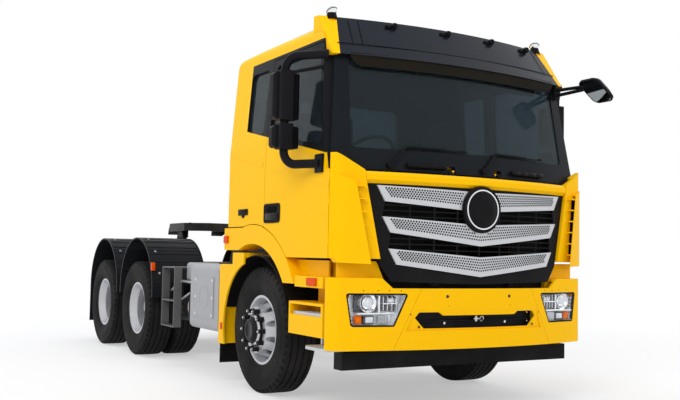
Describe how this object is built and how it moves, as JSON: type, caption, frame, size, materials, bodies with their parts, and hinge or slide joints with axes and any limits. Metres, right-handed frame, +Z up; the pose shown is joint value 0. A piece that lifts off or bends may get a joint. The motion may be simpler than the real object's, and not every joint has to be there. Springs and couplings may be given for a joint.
{
  "type": "semi truck tractor unit",
  "caption": "Yellow heavy tractor unit with tilting day cab, silver-barred grille flap, steered front axle, twin-wheel tandem and fifth wheel.",
  "frame": {"origin": "on the ground under the middle of the whole vehicle", "axes": "+Z up, -Y the way the truck drives, -X the truck's right side"},
  "size_m": [3.004, 7.02, 3.1538],
  "materials": {
    "paint_yellow": "gloss",
    "visor_blue_grey": "gloss",
    "dark_panel": "satin",
    "black_plastic": "textured",
    "tinted_glass": "gloss",
    "lamp_glass": "clear",
    "silver_bar": "satin metallic",
    "chassis_black": "satin",
    "black_iron": "painted black",
    "wheel_silver": "silver",
    "tyre_rubber": "matte",
    "bright_aluminium": "brushed",
    "exhaust_steel": "matt",
    "tail_red": "gloss",
    "seat_fabric": "woven",
    "mirror_black": "fine grain",
    "greased_plate": "greased"
  },
  "bodies": {
    "chassis": {"frame_rails": "chassis_black", "crossmembers": "chassis_black", "cab_mounts": "chassis_black", "front_axle": "black_iron", "front_springs": "chassis_black", "drive_axles": "black_iron", "bogie_suspension": "black_iron", "propshafts": "chassis_black", "powertrain": "black_iron", "fuel_tank": "bright_aluminium", "exhaust_box": "exhaust_steel", "air_tanks": "chassis_black", "deck_ladder": "chassis_black", "drive_fenders": "black_plastic", "fifth_wheel_base": "chassis_black", "bumper": "paint_yellow", "headlamps": "lamp_glass", "underrun_bar": "chassis_black", "side_steps": "paint_yellow", "step_treads": "bright_aluminium", "front_mudguards": "paint_yellow", "arch_liners": "black_plastic", "tail_beam": "chassis_black", "tail_lamps": "tail_red"},
    "fifth_wheel": {"fifth_wheel_plate": "greased_plate"},
    "knuckle_left": {"knuckle_left": "black_iron"},
    "knuckle_right": {"knuckle_right": "black_iron"},
    "tie_rod": {"tie_rod": "black_iron"},
    "front_wheel_left": {"wheel_front_left": "wheel_silver", "tyre_front_left": "tyre_rubber"},
    "front_wheel_right": {"wheel_front_right": "wheel_silver", "tyre_front_right": "tyre_rubber"},
    "mid_wheels_left": {"wheels_mid_left": "wheel_silver", "tyres_mid_left": "tyre_rubber"},
    "mid_wheels_right": {"wheels_mid_right": "wheel_silver", "tyres_mid_right": "tyre_rubber"},
    "rear_wheels_left": {"wheels_rear_left": "wheel_silver", "tyres_rear_left": "tyre_rubber"},
    "rear_wheels_right": {"wheels_rear_right": "wheel_silver", "tyres_rear_right": "tyre_rubber"},
    "cab": {"cab_shell": "paint_yellow", "windscreen_frame": "dark_panel", "cab_glass": "tinted_glass", "roof_visor": "visor_blue_grey", "roof_corners": "paint_yellow", "corner_panels": "paint_yellow", "cab_arches": "paint_yellow", "dashboard": "black_plastic", "seats": "seat_fabric", "wipers": "black_plastic", "lookdown_mirror": "mirror_black"},
    "front_flap": {"front_flap": "paint_yellow", "grille_surround": "black_plastic", "grille_bars": "silver_bar"},
    "door_left": {"door_left": "paint_yellow", "door_glass_left": "tinted_glass", "mirror_left": "mirror_black"},
    "door_right": {"door_right": "paint_yellow", "door_glass_right": "tinted_glass", "mirror_right": "mirror_black"}
  },
  "joints": [
    {"name": "cab_tilt", "type": "hinge", "parent": "chassis", "child": "cab", "pos_m": [0, -3.258, 1], "axis": [1, 0, 0], "range_deg": [0, 50]},
    {"name": "flap_lift", "type": "hinge", "parent": "cab", "child": "front_flap", "pos_m": [0, -3.25, 1.86], "axis": [-1, 0, 0], "range_deg": [0, 75]},
    {"name": "door_left_swing", "type": "hinge", "parent": "cab", "child": "door_left", "pos_m": [1.245, -3.123, 1.9], "axis": [0, 0, -1], "range_deg": [0, 70]},
    {"name": "door_right_swing", "type": "hinge", "parent": "cab", "child": "door_right", "pos_m": [-1.245, -3.123, 1.9], "axis": [0, 0, 1], "range_deg": [0, 70]},
    {"name": "steer_right", "type": "hinge", "parent": "chassis", "child": "knuckle_right", "pos_m": [-0.87, -1.79, 0.54], "axis": [0, 0, 1], "range_deg": [-35, 35]},
    {"name": "steer_left", "type": "hinge", "parent": "chassis", "child": "knuckle_left", "pos_m": [0.87, -1.79, 0.54], "axis": [0, 0, 1], "range_deg": [-35, 35]},
    {"name": "tie_rod_swing", "type": "hinge", "parent": "knuckle_left", "child": "tie_rod", "pos_m": [0.87, -1.62, 0.38], "axis": [0, 0, 1], "range_deg": [-35, 35]},
    {"name": "front_wheel_left_spin", "type": "hinge", "parent": "knuckle_left", "child": "front_wheel_left", "pos_m": [1.02, -1.79, 0.54], "axis": [1, 0, 0], "continuous": true},
    {"name": "front_wheel_right_spin", "type": "hinge", "parent": "knuckle_right", "child": "front_wheel_right", "pos_m": [-1.02, -1.79, 0.54], "axis": [1, 0, 0], "continuous": true},
    {"name": "mid_wheels_left_spin", "type": "hinge", "parent": "chassis", "child": "mid_wheels_left", "pos_m": [0.93, 1.4, 0.54], "axis": [1, 0, 0], "continuous": true},
    {"name": "mid_wheels_right_spin", "type": "hinge", "parent": "chassis", "child": "mid_wheels_right", "pos_m": [-0.93, 1.4, 0.54], "axis": [1, 0, 0], "continuous": true},
    {"name": "rear_wheels_left_spin", "type": "hinge", "parent": "chassis", "child": "rear_wheels_left", "pos_m": [0.93, 2.75, 0.54], "axis": [1, 0, 0], "continuous": true},
    {"name": "rear_wheels_right_spin", "type": "hinge", "parent": "chassis", "child": "rear_wheels_right", "pos_m": [-0.93, 2.75, 0.54], "axis": [1, 0, 0], "continuous": true},
    {"name": "fifth_wheel_pitch", "type": "hinge", "parent": "chassis", "child": "fifth_wheel", "pos_m": [0, 2.2, 1.42], "axis": [1, 0, 0], "range_deg": [-12, 12]}
  ],
  "couplings": [
    {"joint": "steer_left", "follows": "steer_right", "ratio": 1},
    {"joint": "tie_rod_swing", "follows": "steer_right", "ratio": -1}
  ]
}
